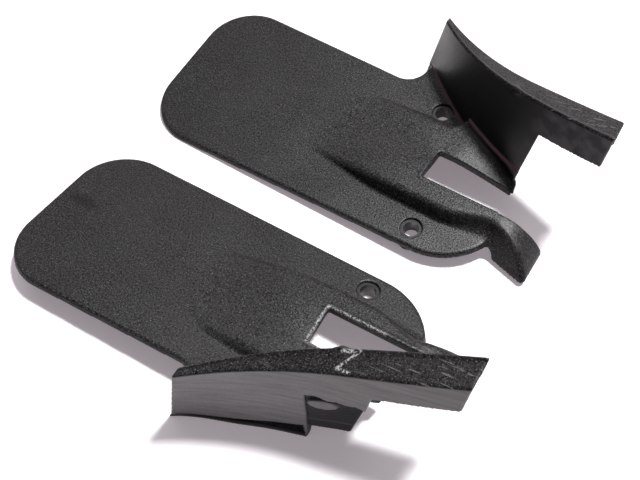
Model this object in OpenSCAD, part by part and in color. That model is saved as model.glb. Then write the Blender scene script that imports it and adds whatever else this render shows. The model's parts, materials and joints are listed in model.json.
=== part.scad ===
// Handed pair of moulded deflector guards: a flat rounded paddle, a raised tunnel that ends in a
// forked bracket with an open slot, a drooping toe on one prong and a tall curved vane on the other.
// Each guard is drawn in its own frame: +X from the paddle's free end towards the fork, +Y towards
// the vane, Z = 0 on the paddle's flat top. The pair is then set down the way it rests on a floor.

/* [Paddle] */
// Width of the paddle at its free end
paddle_w = 100; // [94:1:110]
// Radius of the two free corners of the paddle
corner_r = 29; // [20:1:40]
// Angle by which each long edge closes in towards the fork
edge_taper = 1.6; // [0:0.1:2.5]
// Wall thickness of the moulding
wall = 2.5; // [1.8:0.1:3]
// Depth of the rim below the flat top
rim_depth = 4; // [3:0.5:8]

/* [Fork] */
// Distance from the free end to the closed end of the slot
slot_start = 165; // [150:1:175]
// Width of the slot between the prongs
slot_w = 20.2; // [14:0.2:24]
// Distance from the free end to the ends of the prongs' flat part
fork_end = 212; // [205:1:216]
// Height of the tunnel's roof above the flat top
tunnel_h = 8.5; // [5:0.5:12]
// Where the tunnel's roof starts to climb
ramp_start = 95; // [80:1:120]

/* [Vane] */
// Height of the vane's outer top edge at its left end
vane_low = 34; // [28:1:40]
// Height of the vane's outer top edge at the arm's cut end
vane_high = 64; // [50:1:75]
// Width of the vane's top strip where it starts
strip_start_w = 3.9; // [3:0.1:6]
// Width of the vane's top strip at the arm's cut end
strip_end_w = 14; // [10:0.5:18]
// Depth of the arm's channel section
arm_depth = 17.5; // [12:0.5:20]

/* [Screw holes] */
// Radius of the sleeves' through holes
bolt_r = 4.2; // [3:0.1:4.5]
// Outer radius of the sleeves
sleeve_r = 5.7; // [5.2:0.1:6.5]
// Length of the sleeves
sleeve_len = 8.9; // [7:0.1:9]
// How far the sleeves sit below the flat top
sleeve_recess = 1.5; // [0.5:0.1:1.5]

/* [Pair] */
// Distance from each guard's centre line to the middle of the pair
pair_offset = 60.9; // [60:0.1:80]
// Angle by which the two forks lean towards each other
toe_in = 1.2; // [0:0.1:2]

/* [Hidden] */

plastic = "dimgray";
bush = "gray";
steps = 12;             // segments in each rounded stretch of an outline
eps = 0.05;             // overlap that keeps cuts clean

// how the guard lies: rolled about its long axis, and the fork end raised
rest_roll = 7.7;
rest_pitch = 2.3;
ground = 9.55;          // height of the frame's origin above the floor
pair_x = -123.09;       // puts the middle of the pair's length at X = 0

// fork side flange: one round stretch around the toe-side hole
flange_r = 36.5;
flange_at = [178, -9];
flange_sweep = 62;
toe_hole = [173.4, -35.6];
vane_hole = [152.3, 36.3];
boss_wall = 2.6;
slot_y = slot_w / 2;

// concave fillet between the paddle's edge and the vane's left end
fillet_r = 12;
fillet_x = 117.5;

// the vane's outer top edge in plan: a bend, then a straight run
vane_start = 136.5;
vane_end = 249;
bend_r = 185;
straight_x = 200;
straight_y = 42.6;
straight_angle = 14;
bend_c = [straight_x + bend_r * sin(straight_angle), straight_y + bend_r * cos(straight_angle)];

// where the vane's webs change depth
web_step = 184;
notch_x = 209;
step_run = 0.4;
web_clear_z = 22.5;
panel_bottom = -12;
raised_x = slot_start + 4;    // from here on the vane stands on the raised prong

// half width of the paddle at x
function half_w(x) = paddle_w / 2 - x * tan(edge_taper);

// points on a circle from angle a0 to angle a1
function arc(c, r, a0, a1, n = steps) =
    [for (i = [0:n]) c + r * [cos(a0 + (a1 - a0) * i / n), sin(a0 + (a1 - a0) * i / n)]];

// floor height under (x, y), in the guard's own frame
function floor_z(x, y) =
    -(ground + x * sin(rest_pitch) + y * cos(rest_pitch) * sin(rest_roll))
    / (cos(rest_pitch) * cos(rest_roll));

// the vane along its length: 0 at the left end, 1 at the arm's cut end
function along(x) = (x - vane_start) / (vane_end - vane_start);
function outer_y(x) = x > straight_x
    ? straight_y - (x - straight_x) * tan(straight_angle)
    : bend_c[1] - sqrt(pow(bend_r, 2) - pow(bend_c[0] - x, 2));
function outer_z(x) = let (s = along(x)) vane_low + (vane_high - vane_low) * (0.78 * s + 0.22 * s * s);
function strip_w(x) = strip_start_w + (strip_end_w - strip_start_w) * sin(90 * along(x));
function inner_y(x) = outer_y(x) - strip_w(x) / cos(straight_angle + 20 * max(0, 1 - 2 * along(x)));
function inner_z(x) = outer_z(x) + 2.4 + 1.4 * along(x);

// how far the webs lean in y, and trail back in x, for each millimetre below the top
function outer_lean(x) = 0.16 * (1 - pow(along(x), 2));
function inner_lean(x) = 0.15 + 0.06 * min(1, along(x) / 0.3);
function outer_trail(x) = 0.065 + 0.17 * max(0, 1 - along(x) / 0.42);
function inner_trail(x) = 0.065 + 0.09 * max(0, 1 - along(x) / 0.42);

// thickness of the webs, thinner where the strip is narrow
function web_t(x) = min(0.8 * wall, 0.27 * strip_w(x));

// a point on the outer or inner face of the vane, h below the top edge
function outer_point(x, h, t = 0) =
    [x - outer_trail(x) * h, outer_y(x) - outer_lean(x) * h - t, outer_z(x) - h];
function inner_point(x, h, t = 0) =
    [x - inner_trail(x) * h, inner_y(x) - inner_lean(x) * h + t, inner_z(x) - h];

// depth of each web below its top edge
function outer_depth(x) =
    let (p = outer_point(x, outer_z(x) + 22), low = outer_z(x) - floor_z(p[0], p[1] - web_t(x)))
    x <= web_step ? low : x <= notch_x ? outer_z(x) - web_clear_z : arm_depth;
function inner_depth(x) =
    x > notch_x ? arm_depth + 0.5 : inner_z(x) + wall / 2 - (x > raised_x ? tunnel_h : 0);

// the middle of the inner web's foot, at height z
function foot(x, z = 0) = let (p = inner_point(x, inner_z(x) - z, web_t(x) / 2)) [p[0], p[1]];

// free end, long edges, flange, fork and the vane's foot, inset by i
function plate_outline(i = 0) = concat(
    arc([corner_r, corner_r - half_w(corner_r)], corner_r - i, 180, 270),
    arc(flange_at, flange_r - i, -90, -90 + flange_sweep),
    [[fork_end, -slot_y - 8], [fork_end, slot_y]],
    [for (k = [0:8]) foot(notch_x - 1 - k * (notch_x - 1 - vane_start) / 8)],
    arc([fillet_x, half_w(fillet_x) + fillet_r], fillet_r + i, 0, -90),
    arc([corner_r, half_w(corner_r) - corner_r], corner_r - i, 90, 180)
);

// plan of the raised tunnel and the raised inner prong, inset by i
function tunnel_outline(i = 0) = concat(
    [[ramp_start, 21 - i], [ramp_start, -21 + i], [150, -24 + i], [fork_end + i, -20.5 + i],
     [fork_end + i, slot_y - 1]],
    [for (k = [0:3]) foot(notch_x - 1 - k * (notch_x - raised_x) / 3, tunnel_h) - [0, i]],
    [[raised_x - 2 - i, 33 - i], [155, 28.5 - i]]
);

// side view of the tunnel's roof, lowered by i, down to the given height
module roof_profile(i, bottom) {
    ramp = [for (k = [0:steps])
        [ramp_start + (slot_start - ramp_start) * k / steps,
         tunnel_h * (1 - cos(180 * k / steps)) / 2 - i]];
    polygon(concat([[ramp_start, bottom]], ramp,
                   [[fork_end + wall, tunnel_h - i], [fork_end + wall, bottom]]));
}

module tunnel_form(i, bottom) {
    intersection() {
        translate([0, 0, bottom]) linear_extrude(4 * tunnel_h) polygon(tunnel_outline(i));
        translate([0, paddle_w, 0]) rotate([90, 0, 0])
            linear_extrude(2 * paddle_w) roof_profile(i, bottom);
    }
}

// the smallest convex solid around the points
module wrap(points) {
    hull() polyhedron(points, [[for (k = [0:len(points) - 1]) k]]);
}

// the toe: a hood that carries the nose prong outwards and down
module toe_form(i = 0) {
    out_y = -slot_y + (i > 0 ? -wall : 0.5);
    bottom = -12 - i;
    points = [
        [fork_end - 6 - i, out_y, tunnel_h - i], [222 - i, out_y, tunnel_h + 0.3 - i],
        [228.4 - i, out_y, 6.4 - i], [232.4 - i, out_y, 1.6 - i], [235.8 - i, out_y, -6],
        [237.8 - i, out_y, bottom], [236.8 - i, -31 + i, bottom], [222, -29.4 + i, bottom],
        [fork_end + 1 - i, -26 + i, bottom], [fork_end - i, out_y, bottom],
        [fork_end - 6 - i, -20.5 + i, tunnel_h - i], [216, -19.8 + i, tunnel_h - i],
        [223 - i, -21 + i, 7 - i], [229 - i, -23.5 + i, 3.5 - i], [234 - i, -28 + i, -5 - i]
    ];
    wrap(points);
}

// curved vane: a thin inverted U that opens downwards and runs on into the arm
module vane() {
    xs = concat(
        [for (k = [0:8]) vane_start + (web_step - vane_start) * k / 8],
        [for (k = [0:5]) web_step + step_run + (notch_x - web_step - step_run) * k / 5],
        [for (k = [0:6]) notch_x + step_run + (vane_end - notch_x - step_run) * k / 6]
    );
    n = len(xs);
    sections = [for (x = xs) let (top = wall * 0.9, a = outer_depth(x), b = inner_depth(x), t = web_t(x)) [
        outer_point(x, a), outer_point(x, 0), inner_point(x, 0), inner_point(x, b),
        inner_point(x, b, t), inner_point(x, top, t), outer_point(x, top, t), outer_point(x, a, t)
    ]];
    points = [for (s = sections) for (p = s) p];
    sides = [for (k = [0:n - 2]) for (j = [0:7])
        let (a = 8 * k + j, b = 8 * k + (j + 1) % 8)
        each [[a, b + 8, b], [a, a + 8, b + 8]]];
    near = [[0, 6, 7], [0, 1, 6], [1, 5, 6], [1, 2, 5], [2, 4, 5], [2, 3, 4]];
    far = [for (t = near) [t[0], t[2], t[1]] + 8 * (n - 1) * [1, 1, 1]];
    polyhedron(points, concat(sides, near, far), convexity = 6);
}

// side panel of the inner prong, set back under the vane's outer web
module prong_panel() {
    corners = [[178, 39.5, panel_bottom], [202, 30, panel_bottom],
               [notch_x, 35.7, web_clear_z + 1], [184, 42.4, web_clear_z + 1]];
    wrap([for (t = [0, -wall]) for (p = corners) p + [0, t, 0]]);
}

module boss(at) {
    translate([at[0], at[1], -sleeve_recess - sleeve_len])
        cylinder(h = sleeve_recess + sleeve_len - 0.5, r = sleeve_r + boss_wall, $fn = 64);
}

module sleeve_bore(at) {
    translate([at[0], at[1], -30]) cylinder(h = 60, r = sleeve_r, $fn = 64);
}

// one guard in its own frame, vane on the +Y side
module guard() {
    difference() {
        union() {
            translate([0, 0, -rim_depth]) linear_extrude(rim_depth) polygon(plate_outline());
            tunnel_form(0, -wall / 2);
            toe_form();
            boss(toe_hole);
            boss(vane_hole);
        }
        difference() {
            translate([0, 0, -rim_depth - eps])
                linear_extrude(rim_depth - wall + eps) polygon(plate_outline(wall));
            boss(toe_hole);
            boss(vane_hole);
        }
        tunnel_form(wall, -4 * wall);
        toe_form(wall);
        translate([slot_start, -slot_y, -20]) cube([80, slot_w, 60]);
        sleeve_bore(toe_hole);
        sleeve_bore(vane_hole);
    }
    vane();
    prong_panel();
}

// plain tube that takes the clamping load of a screw
module sleeve(at) {
    translate([at[0], at[1], -sleeve_recess - sleeve_len]) difference() {
        cylinder(h = sleeve_len, r = sleeve_r, $fn = 64);
        translate([0, 0, -1]) cylinder(h = sleeve_len + 2, r = bolt_r, $fn = 64);
    }
}

// sets a guard down at rest; side is 1 for the left one and -1 for its mirror image
module at_rest(side) {
    mirror([0, side > 0 ? 0 : 1, 0])
        translate([pair_x, pair_offset, ground])
            rotate([0, 0, -toe_in])
                rotate([0, -rest_pitch, 0])
                    rotate([rest_roll, 0, 0])
                        children();
}

module left_guard() { color(plastic) at_rest(1) guard(); }
module left_toe_side_sleeve() { color(bush) at_rest(1) sleeve(toe_hole); }
module left_vane_side_sleeve() { color(bush) at_rest(1) sleeve(vane_hole); }
module right_guard() { color(plastic) at_rest(-1) guard(); }
module right_toe_side_sleeve() { color(bush) at_rest(-1) sleeve(toe_hole); }
module right_vane_side_sleeve() { color(bush) at_rest(-1) sleeve(vane_hole); }

left_guard();
left_toe_side_sleeve();
left_vane_side_sleeve();
right_guard();
right_toe_side_sleeve();
right_vane_side_sleeve();
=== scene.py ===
"""Looks for a handed pair of moulded guards.

Each guard is one plastic moulding. Its skin is worked out as a distance field in the guard's own frame
(millimetres, +X towards the fork, +Y towards the vane, Z = 0 on the paddle's flat top). Distances are
negative inside the plastic. The skin is meshed once, set down on the frame's screw holes, and mirrored
for the right-hand guard.
"""
import json
import math

import bpy
import numpy as np
import openvdb
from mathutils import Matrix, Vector


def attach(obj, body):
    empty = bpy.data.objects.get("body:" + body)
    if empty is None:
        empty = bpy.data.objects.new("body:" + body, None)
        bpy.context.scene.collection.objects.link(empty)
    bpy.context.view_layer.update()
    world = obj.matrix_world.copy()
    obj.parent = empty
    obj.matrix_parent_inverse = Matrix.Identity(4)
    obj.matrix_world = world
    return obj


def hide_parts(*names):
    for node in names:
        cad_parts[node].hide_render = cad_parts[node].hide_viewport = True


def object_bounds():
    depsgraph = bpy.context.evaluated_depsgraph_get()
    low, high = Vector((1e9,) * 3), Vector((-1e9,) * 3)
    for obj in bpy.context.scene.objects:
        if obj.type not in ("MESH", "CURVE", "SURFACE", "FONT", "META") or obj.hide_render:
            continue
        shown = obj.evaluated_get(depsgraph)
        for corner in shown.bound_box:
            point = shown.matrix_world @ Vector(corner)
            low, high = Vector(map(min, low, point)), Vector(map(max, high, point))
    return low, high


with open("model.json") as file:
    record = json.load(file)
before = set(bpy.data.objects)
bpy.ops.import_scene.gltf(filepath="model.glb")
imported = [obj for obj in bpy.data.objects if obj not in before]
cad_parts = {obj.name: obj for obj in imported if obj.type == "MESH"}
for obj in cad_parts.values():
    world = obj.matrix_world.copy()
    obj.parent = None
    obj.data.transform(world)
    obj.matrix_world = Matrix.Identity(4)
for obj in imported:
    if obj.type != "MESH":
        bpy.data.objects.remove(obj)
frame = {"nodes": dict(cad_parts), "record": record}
cad_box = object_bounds()

MM = 0.001
STEP = 0.6      # distance between samples of the field
FAR = 1e3                              # stands for "no limit on this side"

# ---------------------------------------------------------------- camera, degrees and metres
CAMERA_AZIMUTH = 32.03
CAMERA_ELEVATION = 57.26
CAMERA_DISTANCE = 0.4598
CAMERA_LENS = 49.6
LOOK_PAST_MIDDLE = (0.0126, -0.0086)
LOOK_HEIGHT = 0.00965

# ---------------------------------------------------------------- paddle, in millimetres
PADDLE_W = 100.0
CORNER_R = 29.0
EDGE_TAPER = math.tan(math.radians(1.6))
WALL = 2.5
RIM_DEPTH = 4.0
TOP_EDGE_R = 1.7
LIP_OUT = 0.45
LIP_HEIGHT = 1.0
WOBBLE = 0.10                          # unevenness of the moulded flats

FLANGE_AT = (178.0, -9.0)
FLANGE_R = 36.5
FLANGE_END = -28.0
VANE_FILLET_X = 117.5
VANE_FILLET_R = 12.0

TOE_HOLE = (173.4, -35.6)
VANE_HOLE = (152.3, 36.3)
SLEEVE_R = 5.7
SLEEVE_LENGTH = 8.9
SLEEVE_RECESS = 1.5
BOSS_WALL = 2.6

# ---------------------------------------------------------------- tunnel, slot and fork, in millimetres
TUNNEL_START = 84.0
TUNNEL_END = 238.0
RAMP_LENGTH = 76.0
RAMP_DIP = 1.5                         # how far under the flat top the ramp begins
ROOF_NOSE_Z = 9.8
ROOF_VANE_Z = 5.5
ROOF_TILT_HALF = 12.0
CREST_R = 2.6
FLANK_DRAFT = 0.40
VANE_SIDE_DRAFT = 0.60

SLOT_START = 165.0
SLOT_HALF = 10.1
SLOT_WALL_DEPTH = 5.6
PRONG_START = 168.0
PRONG_END = 208.5
FORK_END = 212.0

# each swing of a foot line is (where it begins, how long it takes, how far it goes)
NOSE_FOOT = -20.5
NOSE_BELLY = (104.0, 46.0, -5.1)
NOSE_WAIST = (183.0, 27.0, 6.1)
HOOD_FLARE = (209.0, 0.27)
VANE_SIDE_FOOT = 23.5
VANE_SIDE_BELLY = (100.0, 25.0, 5.5)
VANE_SIDE_DRIFT = (125.0, 0.05)
OUT_TO_WEB = (162.0, 10.0, 9.0)
DROP_EDGE = (-6.0, 8.0, 1.0)
DROP_FADE = (12.0, 12.0, 0.7)
HOOD_FILLET = (186.0, 20.0, 4.5)

PRONG_DROP = 7.6
DROP_START = 174.0
DROP_LENGTH = 34.0

HOOD_START = 211.0
HOOD_RUN = 25.4
HOOD_BOTTOM = -12.0
HOOD_SKIRT = 1.0
HOOD_ROUNDNESS = 1.65
HOOD_BACK = (210.5, 0.45)              # x of its back edge at the flat top, and how that trails with depth

# ---------------------------------------------------------------- vane, in millimetres
VANE_START = 136.0
VANE_END = 249.0
VANE_LOW_Z = 33.6
VANE_RISE = 30.4
RISE_BOW = 0.22
BEND_R = 185.0
STRAIGHT_FROM = (200.0, 42.6)
STRAIGHT_ANGLE = 14.0
BEND_SIN = math.sin(math.radians(STRAIGHT_ANGLE))
BEND_COS = math.cos(math.radians(STRAIGHT_ANGLE))
BEND_AT = (STRAIGHT_FROM[0] + BEND_R * BEND_SIN, STRAIGHT_FROM[1] + BEND_R * BEND_COS)

STRIP_START_W = 3.9
STRIP_MORE_W = 10.1
STRIP_TURN = 20.0
INNER_RAISE = 1.4
INNER_RAISE_MORE = 2.4
RIPPLE_X = 194.0
RIPPLE_HALF = 2.8

OUTER_TRAIL = 0.17
INNER_TRAIL = 0.09
WEB = 2.0
WEB_STEP = 184.0
PANEL_TOP = 22.5
PANEL_BOTTOM = -12.0
LEDGE_START = 169.5
LEDGE_TOP = 8.0
ARM_DEPTH = 17.5
VANE_LIP = 1.1                         # height of the lip that the outer web stands on
FLOOR_GAP = 0.35
PAD_AT = (191.0, 14.3)
PAD_HALF = (6.2, 4.2)
PAD_SLOPE = 0.15

# ---------------------------------------------------------------- marks on the right guard
SCUFF = [(195.2, 0.88), (201.8, 0.93), (196.4, 0.25), (202.0, 0.12)]    # (x, share of the strip's width)
SMUDGE_AT = (15.0, -6.0)
SMUDGE_HALF = (9.0, 3.2)


# ---------------------------------------------------------------- the guards' own frames
class Placement:
    """Where one guard's own frame sits in the row frame, found from its screw hole and its slot."""

    def __init__(self, side):
        mounts = {m["name"]: m for m in frame["record"]["mounts"]}
        hole = mounts[f"{side}_toe_side_hole"]
        self.mirrored = side == "right"
        self.up = np.array(Vector(hole["axis"]).normalized())
        self.along = np.array(Vector(mounts[f"{side}_fork_slot"]["axis"]).normalized())
        self.across = np.cross(self.up, self.along) * (-1 if self.mirrored else 1)
        middle = (*TOE_HOLE, -SLEEVE_RECESS - SLEEVE_LENGTH / 2)
        self.origin = np.array(hole["pos_m"]) - self.turned(np.array(middle) * MM)

    def turned(self, p):
        return p[..., :1] * self.along + p[..., 1:2] * self.across + p[..., 2:3] * self.up

    def to_row(self, points):
        """Row-frame metres for an array of points in the guard's own millimetres."""
        return self.origin + self.turned(points * MM)

    def floor_z(self, x, y):
        """The floor's height in the guard's own frame."""
        tilt = self.along[2] * x + self.across[2] * y
        return -(self.origin[2] / MM + tilt) / self.up[2]


left = Placement("left")
right = Placement("right")


# ---------------------------------------------------------------- distance-field tools
def smooth(t):
    """0 below 0, 1 above 1, and an even curve between."""
    t = np.clip(t, 0, 1)
    return t * t * (3 - 2 * t)


def swing(x, start, length, amount):
    """A smooth step of the given amount that begins at start."""
    return amount * smooth((x - start) / length)


def near(value, centre, half):
    """1 at the centre, falling away like a bell."""
    return np.exp(-(((value - centre) / half) ** 2))


def trim(radius, *sides):
    """The space inside all the sides, with the edges where they meet rounded."""
    inner, outer = -FAR, 0.0
    for side in sides:
        raised = side + radius
        inner = np.maximum(inner, raised)
        outer = outer + np.maximum(raised, 0) ** 2
    return np.minimum(inner, 0) + np.sqrt(outer) - radius


def weld(blend, a, b):
    """Both spaces as one, with a small fillet where they meet."""
    gap = np.maximum(blend - np.abs(a - b), 0) / blend
    return np.minimum(a, b) - gap * gap * blend / 4


def every(*spaces):
    """The space that lies in all of them."""
    out = spaces[0]
    for space in spaces[1:]:
        out = np.maximum(out, space)
    return out


def either(*spaces):
    """The space that lies in any of them."""
    out = spaces[0]
    for space in spaces[1:]:
        out = np.minimum(out, space)
    return out


def outline_distance(points, px, py):
    """Signed distance from each (px, py) to a closed outline."""
    best = np.full(px.shape, FAR**3, np.float32)
    inside = np.zeros(px.shape, bool)
    for (ax, ay), (bx, by) in zip(points, points[1:] + points[:1]):
        ex, ey = bx - ax, by - ay
        wx, wy = px - ax, py - ay
        t = np.clip((wx * ex + wy * ey) / (ex * ex + ey * ey), 0, 1)
        best = np.minimum(best, (wx - ex * t) ** 2 + (wy - ey * t) ** 2)
        crosses = (ay > py) != (by > py)
        inside ^= crosses & (px < ax + ex * (py - ay) / (ey if ey else 1))
    return np.where(inside, -1, 1) * np.sqrt(best)


def arc(centre, radius, start, end, count=18):
    """Points on a circle from one angle to another, in degrees."""
    angles = [math.radians(start + (end - start) * i / count) for i in range(count + 1)]
    return [(centre[0] + radius * math.cos(a), centre[1] + radius * math.sin(a)) for a in angles]


# ---------------------------------------------------------------- the vane's curves
def along(x):
    """0 at the vane's left end, 1 at the arm's cut end."""
    return (x - VANE_START) / (VANE_END - VANE_START)


def outer_y(x):
    """Outer top edge in plan: a bend, then straight on."""
    bend = BEND_AT[1] - np.sqrt(BEND_R**2 - np.minimum(BEND_AT[0] - x, BEND_R - 1) ** 2)
    straight = STRAIGHT_FROM[1] - (x - STRAIGHT_FROM[0]) * BEND_SIN / BEND_COS
    return np.where(x > STRAIGHT_FROM[0], straight, bend)


def outer_z(x):
    s = along(x)
    return VANE_LOW_Z + VANE_RISE * ((1 - RISE_BOW) * s + RISE_BOW * s * s)


def strip_w(x):
    """Width of the vane's top strip, which opens towards the arm."""
    return STRIP_START_W + STRIP_MORE_W * np.sin(np.clip(along(x), 0, 1) * math.pi / 2)


def inner_y(x):
    slant = np.radians(STRAIGHT_ANGLE + STRIP_TURN * np.maximum(0, 1 - 2 * along(x)))
    return outer_y(x) - strip_w(x) / np.cos(slant)


def inner_z(x):
    return outer_z(x) + INNER_RAISE + swing(along(x), 0, 0.5, INNER_RAISE_MORE)


def outer_lean(x):
    """How far the outer web leans in for each millimetre down."""
    s = along(x)
    return 0.15 - swing(s, 0, 0.25, 0.05) - swing(s, 0.4, 0.6, 0.10)


def inner_lean(x):
    return 0.15 + 0.06 * np.minimum(1, along(x) / 0.3)


def trail(x, most):
    """How far a web's ends trail back in x for each millimetre below the top edge."""
    return 0.065 + most * np.maximum(0, 1 - along(x) / 0.42)


def web_face(x, z, edge_y, edge_z, lean, most):
    """A web's face: its y at each (x, z), and the place along the top edge that each point hangs from."""
    top_x = x + 0 * z
    for _ in range(8):
        top_x = x + trail(top_x, most) * (edge_z(top_x) - z)
    return edge_y(top_x) - lean(top_x) * (edge_z(top_x) - z), top_x


def outer_web(x, z):
    return web_face(x, z, outer_y, outer_z, outer_lean, OUTER_TRAIL)


def inner_web(x, z):
    return web_face(x, z, inner_y, inner_z, inner_lean, INNER_TRAIL)


def steepness(face):
    """What to divide (y - face) by to make it a true distance, for a face given as y at each (x, z)."""
    gx = np.gradient(face, STEP, axis=0)
    gz = np.gradient(face, STEP, axis=2)
    return np.sqrt(1 + gx**2 + gz**2)


# ---------------------------------------------------------------- the paddle's and the tunnel's curves
def half_w(x):
    return PADDLE_W / 2 - x * EDGE_TAPER


def web_foot(x):
    """A point just behind the inner web's foot on the flat top."""
    y, _ = inner_web(np.array([[[x]]]), np.array([[[0.0]]]))
    return (x, float(y[0, 0, 0]) + WEB / 2)


def plate_outline():
    fillet = (VANE_FILLET_X, half_w(VANE_FILLET_X) + VANE_FILLET_R)
    return (
        arc((CORNER_R, CORNER_R - half_w(CORNER_R)), CORNER_R, 180, 270)
        + arc(FLANGE_AT, FLANGE_R, -90, FLANGE_END)
        + [(FORK_END, -SLOT_HALF - 8), (PRONG_END, SLOT_HALF)]
        + [web_foot(x) for x in np.linspace(PRONG_END - 1, VANE_START - 5, 10)]
        + arc(fillet, VANE_FILLET_R, 0, -90)
        + arc((CORNER_R, half_w(CORNER_R) - CORNER_R), CORNER_R, 90, 180)
    )


def nose_foot(x):
    """Foot of the tunnel's flank on the toe side, which swings out again under the hood."""
    y = NOSE_FOOT + swing(x, *NOSE_BELLY) + swing(x, *NOSE_WAIST)
    return y - HOOD_FLARE[1] * np.maximum(x - HOOD_FLARE[0], 0)


def vane_side_foot(x):
    """Foot of the tunnel's flank on the vane side, which runs out to the inner web beside the slot."""
    y = VANE_SIDE_FOOT + swing(x, *VANE_SIDE_BELLY) + swing(x, *OUT_TO_WEB)
    return y + VANE_SIDE_DRIFT[1] * np.maximum(x - VANE_SIDE_DRIFT[0], 0)


def prong_drop(x, y):
    """How far the vane-side prong's top has come down towards its end."""
    share = np.clip((x - DROP_START) / DROP_LENGTH, 0, 1.3) ** 1.35
    return PRONG_DROP * share * swing(y, *DROP_EDGE) * (1 - swing(y, *DROP_FADE))


def roof_z(x, y):
    """Height of the tunnel's roof, which tilts down towards the vane."""
    side = ROOF_VANE_Z + (ROOF_NOSE_Z - ROOF_VANE_Z) * smooth((ROOF_TILT_HALF - y) / (2 * ROOF_TILT_HALF))
    ramp = smooth((x - TUNNEL_START) / RAMP_LENGTH)
    return (side + RAMP_DIP) * ramp - RAMP_DIP - prong_drop(x, y)


def hood(x, z):
    """The rolled end of the toe-side prong: a soft quarter round, seen from the side."""
    foot = HOOD_BOTTOM + HOOD_SKIRT
    rise = ROOF_NOSE_Z - foot
    dx = np.maximum(x - HOOD_START, 0) / HOOD_RUN
    dz = np.maximum(z - foot, 0) / rise
    return ((dx**HOOD_ROUNDNESS + dz**HOOD_ROUNDNESS) ** (1 / HOOD_ROUNDNESS) - 1) * rise


def wobble(x, y):
    return WOBBLE * np.sin(x / 23 + 1) * np.sin(y / 19 + 2)


# ---------------------------------------------------------------- one guard as a distance field
def plate(plan, z, flat, prong):
    """The flat plate: rounded top edge, and a thin lip round the bottom of its rim."""
    slab = every(trim(TOP_EDGE_R, plan, z - flat), -RIM_DEPTH - z)
    lip = trim(0.25, plan - LIP_OUT, z + RIM_DEPTH - LIP_HEIGHT, -RIM_DEPTH - z)
    return every(either(slab, lip), prong)


def tunnel_sides(x, y, z, roof):
    """Both flanks, the roof and the hood, each as its own distance."""
    toe_side = (nose_foot(x) + FLANK_DRAFT * z - y) / math.hypot(1, FLANK_DRAFT)
    vane_side = (y - vane_side_foot(x) + VANE_SIDE_DRAFT * z) / math.hypot(1, VANE_SIDE_DRAFT)
    return toe_side, vane_side, roof, hood(x, z)


def tunnel(x, y, z, plan, sides):
    """The raised tunnel, which splits into a flat prong and a hooded prong past the slot."""
    back = HOOD_BACK[0] - HOOD_BACK[1] * z - x
    return every(
        trim(CREST_R, *sides),
        HOOD_BOTTOM - z,
        either(-RIM_DEPTH - z, back),
        x - TUNNEL_END,
        either(y + SLOT_HALF, x - PRONG_END),
        TUNNEL_START - 4 - x,
        either(plan, every(y + SLOT_HALF, 205 - x)),
    )


def inside_of_shell(x, y, z, plan, sides, flat, prong):
    """What is hollow under the plate, the tunnel and the hood."""
    hollow = trim(1.2, *[side + WALL for side in sides])
    hood_mouth = HOOD_BACK[0] + WALL - HOOD_BACK[1] * z - x
    in_hood = every(hollow, FORK_END - 9 - x, y + SLOT_HALF + WEB, hood_mouth)
    in_tunnel = every(hollow, plan + WALL)
    in_plate = trim(1.0, plan + WALL, z + WALL - flat, prong + WALL)
    return either(in_tunnel, in_plate, in_hood)


def slot_space(x, y):
    return trim(0.8, SLOT_START - x, np.abs(y) - SLOT_HALF)


def slot_wall(x, y, z, plan, roof, prong):
    """The short wall that hangs round the slot."""
    bottom = roof_z(x, y) - SLOT_WALL_DEPTH - z
    return every(slot_space(x, y) - WEB, roof + 0.4, bottom, x - FORK_END + 1, plan + 0.8, prong)


def with_boss(solid, x, y, z, at):
    """The solid with a screw boss added at a hole, and the hole for its sleeve cut through."""
    r = np.hypot(x - at[0], y - at[1])
    boss = every(r - SLEEVE_R - BOSS_WALL, z + 0.6, -SLEEVE_RECESS - SLEEVE_LENGTH - z)
    return trim(0.45, weld(0.8, solid, boss), SLEEVE_R + 0.02 - r)


def guard_field(x, y, z):
    """Distance to one guard's surface."""
    plan = outline_distance(plate_outline(), x + 0 * y, y + 0 * x)
    flat = wobble(x, y)
    prong = np.where((y > -SLOT_HALF) & (x > PRONG_START), z - roof_z(x, y), -FAR)
    roof = z - roof_z(x, y) - flat
    sides = tunnel_sides(x, y, z, roof)

    fillet = 1.2 + swing(x, *HOOD_FILLET) * (y < 0)
    solid = weld(fillet, plate(plan, z, flat, prong), tunnel(x, y, z, plan, sides))
    solid = every(solid, -inside_of_shell(x, y, z, plan, sides, flat, prong))
    solid = either(solid, slot_wall(x, y, z, plan, roof, prong))
    solid = trim(0.5, solid, -slot_space(x, y))
    for hole in (TOE_HOLE, VANE_HOLE):
        solid = with_boss(solid, x, y, z, hole)
    return weld(1.6, solid, vane_field(x, y, z))


def lip_top(x, y):
    """Height of the top of the lip that the outer web stands on."""
    return left.floor_z(x, y) + FLOOR_GAP + VANE_LIP


def wedge_height(x):
    """Height of the undercut above that lip, which opens towards the fork."""
    return 1.3 + 9.5 * np.clip((x - 134) / (WEB_STEP - 134), 0, 1) ** 1.3


def set_back(x):
    """How far the prong's side panel stands behind the outer web."""
    return 1.4 + swing(x, WEB_STEP, 24, 3.6)


def pad_radius(x, z):
    """1 on the edge of the flat lens-shaped pad on the side panel."""
    lift = z - PAD_AT[1] + PAD_SLOPE * (x - PAD_AT[0])
    return np.hypot((x - PAD_AT[0]) / PAD_HALF[0], lift / PAD_HALF[1])


def web_end(x, z):
    """The upright end of both webs at the fork, below the arm."""
    return x - 207 - 0.17 * (z - 4)


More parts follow.
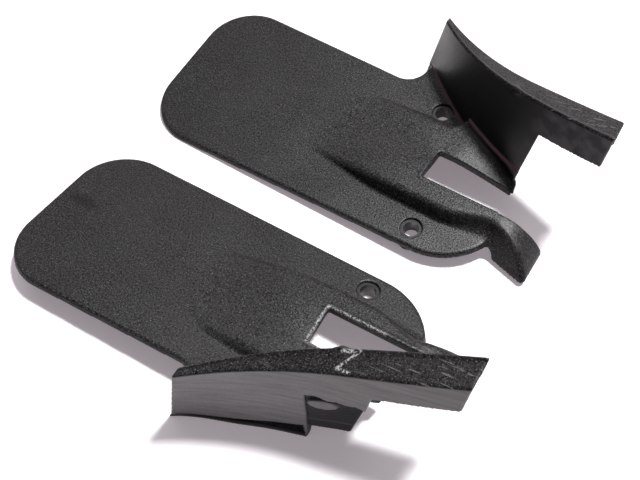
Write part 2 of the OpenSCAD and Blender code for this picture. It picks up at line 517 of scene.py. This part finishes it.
def vane_top(x, y, z):
    """The vane's top strip, with a bead along its inner edge; also how far the ripple swells there."""
    across = np.clip((outer_y(x) - y) / strip_w(x), -0.1, 1.15)
    strip = outer_z(x) + (inner_z(x) - outer_z(x)) * across
    bead = 0.75 * near(across, 0.96, 0.06)
    swell = near(x, RIPPLE_X, RIPPLE_HALF)
    ripple = 0.9 * swell * near(across, 1, 0.35)
    return (z - strip - bead - ripple) * 0.93, 1.1 * swell * smooth((z - strip + 5) / 5)


def vane_underside(x, y, z, middle, floor):
    """Where each web stops: at the floor, above the side panel, and below the arm."""
    ragged = PANEL_TOP + 1.2 * np.sin(x / 1.9) * np.sin(x / 5.3)
    outer = either(
        every(x - WEB_STEP, floor - z),
        every(web_end(x, z), ragged - z),
        outer_z(x) - ARM_DEPTH - z,
    )
    inner = either(every(web_end(x, z), -3.0 - z), inner_z(x) - ARM_DEPTH - 0.5 - z)
    return np.where(y > middle, outer, inner)


def side_panel(x, z, out):
    """The prong's set-back side panel, with the flat pad on it."""
    back = out + set_back(x)
    panel_end = x - 204.6 - 0.21 * z
    panel = trim(0.5, back, -back - WEB, 179 - x, panel_end, PANEL_BOTTOM - z, z - PANEL_TOP - 3)
    pad = trim(0.3, (pad_radius(x, z) - 1) * 3.6, back - 1.3, -back - 1)
    return either(panel, pad)


def vane_field(x, y, z):
    """The vane, an inverted channel that runs on into the arm, with the side panel under it."""
    outer, hang = outer_web(x, z)
    inner, _ = inner_web(x, z)
    out = (y - outer) / steepness(outer)
    top, swelling = vane_top(x, y, z)
    inn = (inner - y) / steepness(inner) - swelling
    start = (VANE_START - hang) * 0.85
    end = x - VANE_END + 0.09 * (66 - z)
    floor = left.floor_z(x, y) + FLOOR_GAP
    rise = lip_top(x, y)

    # undercut above the lip, and the thicker wall behind it
    undercut_top = rise + wedge_height(x)
    undercut = every(-2.2 - out, rise - z, z - undercut_top, x - WEB_STEP + 1.2)
    thick = WEB + 2.0 * smooth((undercut_top + 3 - z) / 3) * (x < WEB_STEP)

    body = every(trim(0.8, out, inn, top, start, end), vane_underside(x, y, z, (outer + inner) / 2, floor))
    cavity = trim(0.6, out + thick, inn + WEB, top + 2.2, start + 2.4)
    body = every(body, -cavity, -undercut)
    lip = trim(0.3, out - 0.7, -out - 2.0, floor - z, z - rise, start, x - WEB_STEP)
    ledge = trim(0.6, LEDGE_START - x, web_end(x, z), inn - 0.9, -inn - 2.0, z - LEDGE_TOP, -2.0 - z)
    brace = trim(0.5, x - WEB_STEP, WEB_STEP - 2.5 - x, out + 0.6, -out - 9.0, floor - z + 3, z - PANEL_TOP)
    return either(weld(0.8, either(body, lip), ledge), side_panel(x, z, out), brace)


# ---------------------------------------------------------------- meshes
def sample(low, high):
    return np.arange(low, high + STEP, STEP, dtype=np.float32)


def skin():
    """Points and faces of one guard, in its own frame."""
    margin = 3
    xs = sample(-margin, 253)
    ys = sample(-54, 77)
    zs = sample(-27, 72)
    field = guard_field(xs[:, None, None], ys[None, :, None], zs[None, None, :])
    grid = openvdb.FloatGrid()
    grid.background = float(margin)
    grid.copyFromArray(np.clip(field, -margin, margin).astype(np.float32))
    points, _, quads = grid.convertToPolygons(isovalue=0.0, adaptivity=0.0)
    return points * STEP + np.array([xs[0], ys[0], zs[0]]), quads


def finish_and_painted_light_zones(points):
    """Where each finish and each patch of painted light lies: the smooth outer web, whose lighter grey is a
    painted reflection, with a painted highlight on the rim's lip and painted light on the pad; the glossy
    inner web with its painted reflection; painted shade darkening the recesses; and a bright foot line that
    is a painted highlight.
    """
    x, y, z = points.T
    out = y - outer_web(x, z)[0]
    inn = y - inner_web(x, z)[0]
    vane = smooth((x - 120) / 2)

    # painted shade: the set-back side panel is darkened, while the pad on it takes the outer web's lighter
    # grey as painted light on its upward face
    panel = vane * (x > WEB_STEP) * smooth((PANEL_TOP + 0.5 - z) / 1.5) * smooth((-out - 0.5) / 0.6)
    panel *= smooth((8.5 + out) / 1.5)
    pad = panel * smooth((1.05 - pad_radius(x, z)) / 0.1)

    # painted shade in the undercut above the lip
    rise = lip_top(x, y) + 0.05
    painted_undercut_shade = vane * (x < WEB_STEP) * smooth((-out - 0.3) / 0.6) * smooth(4.5 + out)
    painted_undercut_shade *= smooth((z - rise) / 0.8) * smooth((rise + wedge_height(x) + 1.5 - z) / 2.5)

    below_top = smooth((outer_z(x) - z - 0.4) / 0.8)
    # the outer web takes a lighter grey, a painted reflection of the bright floor
    web = vane * below_top * smooth((out + 1.3) / 0.7) * (1 - panel) * (1 - painted_undercut_shade)
    plan = outline_distance(plate_outline(), x, y)
    # painted highlight: a light line along the lip at the bottom of the rim
    painted_rim_highlight = smooth((plan + 0.4) / 0.3) * smooth((-2.7 - z) / 0.4) * (z > -RIM_DEPTH - 0.3) * (x < 205)

    # the inner web, which gets a painted reflection and painted highlights in its colour
    inside = vane * smooth((2.4 - np.abs(inn)) / 0.8) * smooth((inner_z(x) - z - 0.3) / 0.8) * (z > 0.6)
    # painted highlight: a bright line along the inner web's foot
    foot_z = np.where(x < LEDGE_START, 1.2, LEDGE_TOP)
    line = vane * smooth((3.0 - np.abs(inn)) / 1.2) * smooth((1.3 - np.abs(z - foot_z)) / 0.7)
    # channels: outer web with painted reflection, rim highlight and pad light; inner web; painted shade;
    # painted foot highlight
    return np.stack([np.maximum(web, 0.5 * painted_rim_highlight) + pad, inside, np.maximum(panel - pad, painted_undercut_shade), line], 1)


def distance_to_stroke(x, y, a, b):
    """Distance from each (x, y) to the straight stroke from a to b."""
    ex, ey = b[0] - a[0], b[1] - a[1]
    t = np.clip(((x - a[0]) * ex + (y - a[1]) * ey) / (ex * ex + ey * ey), 0, 1)
    return np.hypot(x - a[0] - t * ex, y - a[1] - t * ey)


def marks(points):
    """A zigzag scuff on the vane's top, worn slot edges and a smudge near the paddle's free end."""
    x, y, z = points.T
    corners = [(a, float(outer_y(a) - strip_w(a) * share)) for a, share in SCUFF]
    scuff = np.zeros(len(x))
    for a, b in zip(corners, corners[1:]):
        scuff = np.maximum(scuff, smooth((0.85 - distance_to_stroke(x, y, a, b)) / 0.6))
    scuff *= z > outer_z(x) - 1

    slot_rim = np.maximum(SLOT_START - x, np.abs(y) - SLOT_HALF)
    wear = smooth((1.3 - np.abs(slot_rim)) / 0.8) * smooth((z - roof_z(x, y) + 2.5) / 1.5) * (x < 196)

    offset = np.hypot((x - SMUDGE_AT[0]) / SMUDGE_HALF[0], (y - SMUDGE_AT[1]) / SMUDGE_HALF[1])
    smudge = smooth(1.6 - offset) * (z > -1)
    return np.stack([scuff, wear, smudge], 1)


def add_attribute(mesh, name, kind, values):
    layer = mesh.attributes.new(name, kind, "POINT")
    field = "color" if kind == "FLOAT_COLOR" else "vector"
    layer.data.foreach_set(field, values.astype(np.float32).ravel())


def guard_object(side, placement, points, quads):
    """One guard's skin: set down on its frame, with the order of its faces reversed on the guard that is not
    mirrored.
    """
    mesh = bpy.data.meshes.new(f"{side}_guard_skin")
    faces = quads if placement.mirrored else quads[:, ::-1]
    mesh.from_pydata(placement.to_row(points).tolist(), [], faces.tolist())
    mesh.validate()
    add_attribute(mesh, "own", "FLOAT_VECTOR", points * MM)
    # zones of real finish and of painted light: painted reflection, painted highlight and painted shade
    add_attribute(mesh, "finish_and_painted_light", "FLOAT_COLOR", finish_and_painted_light_zones(points))
    add_attribute(mesh, "mark", "FLOAT_VECTOR", marks(points) * (1.0 if placement.mirrored else 0.0))
    mesh.shade_smooth()
    guard = bpy.data.objects.new(f"{side}_guard_skin", mesh)
    bpy.context.scene.collection.objects.link(guard)
    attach(guard, f"{side}_guard_body")
    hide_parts(f"{side}_guard")
    return guard


# ---------------------------------------------------------------- materials
def shade(red, green, blue):
    return (red, green, blue, 1)


class Nodes:
    """A short way to write a node material."""

    def __init__(self, name):
        self.material = bpy.data.materials.new(name)
        self.material.use_nodes = True
        self.tree = self.material.node_tree
        self.shader = self.tree.nodes["Principled BSDF"]

    def add(self, kind, inputs=None, **settings):
        node = self.tree.nodes.new(kind)
        for name, value in settings.items():
            setattr(node, name, value)
        for name, value in (inputs or {}).items():
            self.put(node.inputs[name], value)
        return node

    def put(self, socket, value):
        if isinstance(value, bpy.types.NodeSocket):
            self.tree.links.new(value, socket)
        else:
            socket.default_value = value

    def surface(self, name, value):
        self.put(self.shader.inputs[name], value)

    def noise(self, where, scale, detail=2.0, rough=0.5):
        inputs = {"Vector": where, "Scale": scale, "Detail": detail, "Roughness": rough}
        return self.add("ShaderNodeTexNoise", inputs).outputs["Fac"]

    def stretched(self, where, scale):
        return self.add("ShaderNodeMapping", {"Vector": where, "Scale": scale}).outputs["Vector"]

    def split(self, vector):
        return self.add("ShaderNodeSeparateXYZ", {"Vector": vector}).outputs

    def math(self, kind, a, b):
        node = self.add("ShaderNodeMath", operation=kind)
        self.put(node.inputs[0], a)
        self.put(node.inputs[1], b)
        return node.outputs[0]

    def times(self, *values):
        out = values[0]
        for value in values[1:]:
            out = self.math("MULTIPLY", out, value)
        return out

    def between(self, value, low, high, to_low=0.0, to_high=1.0):
        inputs = {"Value": value, "From Min": low, "From Max": high, "To Min": to_low, "To Max": to_high}
        return self.add("ShaderNodeMapRange", inputs).outputs["Result"]

    def mix(self, share, a, b):
        """Two colours mixed by a share from 0 to 1."""
        node = self.add("ShaderNodeMix", data_type="RGBA")
        for index, value in ((0, share), (6, a), (7, b)):
            self.put(node.inputs[index], value)
        return node.outputs[2]

    def bump(self, height, strength, distance):
        inputs = {"Strength": strength, "Distance": distance, "Height": height}
        self.surface("Normal", self.add("ShaderNodeBump", inputs).outputs["Normal"])


def grained_colour(n, own, grain, patch, arm, top):
    """The grained flats: dark with pale specks, and drawn-out scratches along the vane's top."""
    speck = n.between(n.noise(own, 1900.0, 1.0), 0.64, 0.70)
    scratch = n.between(n.noise(n.stretched(own, (60.0, 900.0, 200.0)), 1.0, 2.0), 0.64, 0.70)
    colour = n.mix(n.between(grain, 0.34, 0.66), shade(0.003, 0.0026, 0.003), shade(0.030, 0.028, 0.029))
    colour = n.mix(n.between(patch, 0.35, 0.68, 0.0, 0.35), colour, shade(0.006, 0.005, 0.006))
    colour = n.mix(n.times(speck, 0.7), colour, shade(0.17, 0.166, 0.168))
    scratched = n.times(scratch, top, n.between(arm, 0.0, 1.0, 0.12, 0.55))
    return n.mix(scratched, colour, shade(0.22, 0.215, 0.22))


def outer_web_colour(n, own):
    """Satin grey with long streaks; the grey is lighter than the plastic's own, a painted reflection of the
    bright floor.
    """
    streak = n.noise(n.stretched(own, (28.0, 90.0, 420.0)), 1.0, 3.0)
    return n.mix(n.between(streak, 0.30, 0.70), shade(0.074, 0.069, 0.072), shade(0.136, 0.129, 0.133))


def inner_web_colour(n, own, place, arm):
    """Near black, with a painted reflection that makes it paler at the vane's left end, and mottled painted
    highlights on the arm.
    """
    low = n.between(place[0], 0.152, 0.133)
    high = n.between(place[2], 0.002, 0.026)
    # painted reflection: paler at the vane's left end, fading out towards the web's foot
    painted_reflection = n.mix(n.math("POWER", n.times(low, high), 1.6), shade(0.0022, 0.0016, 0.002),
                  shade(0.21, 0.20, 0.205))
    # painted highlights, mottled, on the arm's inner face
    painted_arm_highlights = n.between(n.noise(own, 130.0, 4.0), 0.42, 0.62)
    return n.mix(arm, painted_reflection, n.mix(painted_arm_highlights, shade(0.010, 0.008, 0.010), shade(0.050, 0.042, 0.048)))


def grain_sheen(n, grain, patch, place, top):
    """How strongly the grained plastic shines: less on steep faces and towards the paddle's free end."""
    normal = n.split(n.add("ShaderNodeNewGeometry").outputs["Normal"])
    steep = n.between(normal[2], 0.45, 0.93, 0.20, 1.0)
    tipped = n.times(n.between(normal[1], 0.05, -0.25), top)
    tipped = n.between(tipped, 0.0, 1.0, 1.0, 0.15)
    free_end = n.between(place[0], 0.0, 0.15, 0.66, 1.0)
    patchy = n.between(patch, 0.36, 0.64, 0.70, 1.08)
    return n.times(n.between(grain, 0.34, 0.66, 0.20, 0.58), n.times(steep, tipped, free_end, patchy))


def guard_plastic():
    """Charcoal plastic: coarse grain on the flats, smooth and streaked on the vane's webs, with painted
    reflections, painted highlights and painted shade in its colour.
    """
    n = Nodes("grained_charcoal_plastic")
    own = n.add("ShaderNodeAttribute", attribute_name="own").outputs["Vector"]
    # real finishes and painted light: the smooth web zone with its painted reflection, the inner web zone, a
    # painted shade zone, and a painted highlight in the alpha
    finish_and_painted_light = n.add("ShaderNodeAttribute", attribute_name="finish_and_painted_light").outputs
    zone = n.add("ShaderNodeSeparateColor", {"Color": finish_and_painted_light["Color"]}).outputs
    smooth_and_painted_light_zone, inner_zone, painted_shade_zone = zone[0], zone[1], zone[2]
    mark = n.split(n.add("ShaderNodeAttribute", attribute_name="mark").outputs["Vector"])
    scuff, wear, smudge = mark[0], mark[1], mark[2]
    place = n.split(own)
    grain = n.noise(own, 980.0, 3.0, 0.7)
    patch = n.noise(own, 30.0, 3.0)
    arm = n.between(place[0], 0.205, 0.217)
    top = n.between(place[2], 0.030, 0.036)

    colour = grained_colour(n, own, grain, patch, arm, top)
    # painted reflection and painted light: the outer web, the rim's lip and the pad take a lighter grey
    colour = n.mix(smooth_and_painted_light_zone, colour, outer_web_colour(n, own))
    # the inner web's colour holds a painted reflection and painted highlights
    colour = n.mix(inner_zone, colour, inner_web_colour(n, own, place, arm))
    # painted shade: the side panel and the undercut above the lip are darkened
    colour = n.mix(n.times(painted_shade_zone, 0.8), colour, shade(0.012, 0.011, 0.012))
    # painted highlight: a pinkish line along the inner web's foot
    colour = n.mix(n.times(finish_and_painted_light["Alpha"], 0.8), colour, shade(0.15, 0.080, 0.108))
    flecked = n.between(n.noise(own, 1100.0, 2.0), 0.42, 0.58)
    worn = n.times(n.math("MAXIMUM", scuff, n.times(wear, 0.8)), flecked)
    colour = n.mix(worn, colour, shade(0.42, 0.41, 0.41))
    colour = n.mix(n.times(smudge, 0.75), colour, shade(0.004, 0.003, 0.004))
    n.surface("Base Color", colour)

    quiet = n.math("MAXIMUM", smooth_and_painted_light_zone, inner_zone)
    rough = n.between(grain, 0.3, 0.7, 0.29, 0.50)
    n.surface("Roughness", n.math("ADD", rough, n.times(smooth_and_painted_light_zone, 0.10)))
    sheen = grain_sheen(n, grain, patch, place, top)
    gloss = n.add("ShaderNodeMix", {"Factor": quiet, "A": sheen, "B": 0.34}).outputs["Result"]
    n.surface("Specular IOR Level", gloss)
    fine = n.noise(own, 2100.0, 1.0)
    height = n.math("ADD", n.math("ADD", grain, n.times(fine, 0.4)), n.times(worn, 0.6))
    n.bump(height, n.between(quiet, 0.0, 1.0, 1.0, 0.12), 0.0002)
    return n.material


def sleeve_plastic():
    """Smooth dark bush with faint mottling."""
    n = Nodes("smooth_grey_bush")
    where = n.add("ShaderNodeTexCoord").outputs["Object"]
    mottle = n.noise(where, 1400.0, 2.0)
    n.surface("Base Color", n.mix(mottle, shade(0.010, 0.010, 0.011), shade(0.030, 0.030, 0.032)))
    n.surface("Roughness", n.between(mottle, 0.3, 0.7, 0.28, 0.42))
    n.bump(mottle, 0.3, 0.0001)
    return n.material


def floor_paper():
    """Plain white sweep with a barely seen tooth, lit a little from within so that shadows stay pale."""
    n = Nodes("white_paper")
    where = n.add("ShaderNodeTexCoord").outputs["Object"]
    n.surface("Base Color", n.mix(n.noise(where, 400.0), shade(0.90, 0.875, 0.89), shade(0.93, 0.905, 0.92)))
    n.surface("Roughness", 0.85)
    n.surface("Specular IOR Level", 0.1)
    n.surface("Emission Color", shade(1.0, 0.88, 0.965))
    n.surface("Emission Strength", 0.22)
    return n.material


# ---------------------------------------------------------------- the object
def build_guards():
    points, quads = skin()
    plastic = guard_plastic()
    for side, placement in (("left", left), ("right", right)):
        guard_object(side, placement, points, quads).data.materials.append(plastic)


def finish_sleeves():
    bush = sleeve_plastic()
    for name, node in frame["nodes"].items():
        if name.endswith("_sleeve"):
            node.data.materials.clear()
            node.data.materials.append(bush)


# ---------------------------------------------------------------- floor, lights and camera
def camera_back():
    """The direction from the object to the camera."""
    a, e = math.radians(CAMERA_AZIMUTH), math.radians(CAMERA_ELEVATION)
    return Vector((math.sin(a) * math.cos(e), -math.cos(a) * math.cos(e), math.sin(e)))


def look_target():
    middle = (cad_box[0] + cad_box[1]) / 2
    return Vector((middle.x + LOOK_PAST_MIDDLE[0], middle.y + LOOK_PAST_MIDDLE[1], LOOK_HEIGHT))


def stage_floor():
    """A wide sheet that curls up behind the object, square to the camera."""
    half, curl_steps, back = 3.0, 24, 1.6
    curl = np.linspace(0, math.pi / 2, curl_steps)
    rows = [(-half, 0.0)] + [(back + math.sin(a), 1 - math.cos(a)) for a in curl]
    turn = math.radians(CAMERA_AZIMUTH)
    verts = []
    for run, rise in rows:
        for wide in (-half, half):
            x = wide * math.cos(turn) - run * math.sin(turn)
            y = wide * math.sin(turn) + run * math.cos(turn)
            verts.append((x, y, rise))
    faces = [(2 * i, 2 * i + 1, 2 * i + 3, 2 * i + 2) for i in range(len(rows) - 1)]
    mesh = bpy.data.meshes.new("floor")
    mesh.from_pydata(verts, [], faces)
    mesh.shade_smooth()
    floor = bpy.data.objects.new("floor", mesh)
    floor.data.materials.append(floor_paper())
    bpy.context.scene.collection.objects.link(floor)


def soft_light(name, towards, distance, size, watts, diffuse=True):
    """A square soft light that faces the middle of the pair; without diffuse it only shows as a shine."""
    data = bpy.data.lights.new(name, "AREA")
    data.shape = "SQUARE"
    data.size = size
    data.energy = watts
    light = bpy.data.objects.new(name, data)
    direction = Vector(towards).normalized()
    light.location = look_target() + direction * distance
    light.rotation_euler = direction.to_track_quat("Z", "Y").to_euler()
    light.visible_diffuse = diffuse
    bpy.context.scene.collection.objects.link(light)


def camera():
    data = bpy.data.cameras.new("camera")
    data.sensor_width = 36.0
    data.lens = CAMERA_LENS
    data.clip_start = 0.01
    cam = bpy.data.objects.new("camera", data)
    back = camera_back()
    cam.location = look_target() + back * CAMERA_DISTANCE
    cam.rotation_euler = back.to_track_quat("Z", "Y").to_euler()
    bpy.context.scene.collection.objects.link(cam)
    bpy.context.scene.camera = cam


def surroundings():
    world = bpy.data.worlds.new("studio")
    world.use_nodes = True
    background = world.node_tree.nodes["Background"]
    background.inputs["Color"].default_value = shade(1.0, 0.98, 0.99)
    background.inputs["Strength"].default_value = 0.16
    bpy.context.scene.world = world
    bpy.context.scene.view_settings.view_transform = "Standard"


build_guards()
finish_sleeves()
stage_floor()
camera()
surroundings()
soft_light("key", (0.20, 0.20, 0.96), 1.3, 0.13, 22.0)
soft_light("back", (-0.62, 0.76, 1.20), 1.4, 1.7, 5.4)
soft_light("shine", (0.42, 0.21, 0.88), 1.2, 0.22, 15.0, diffuse=False)
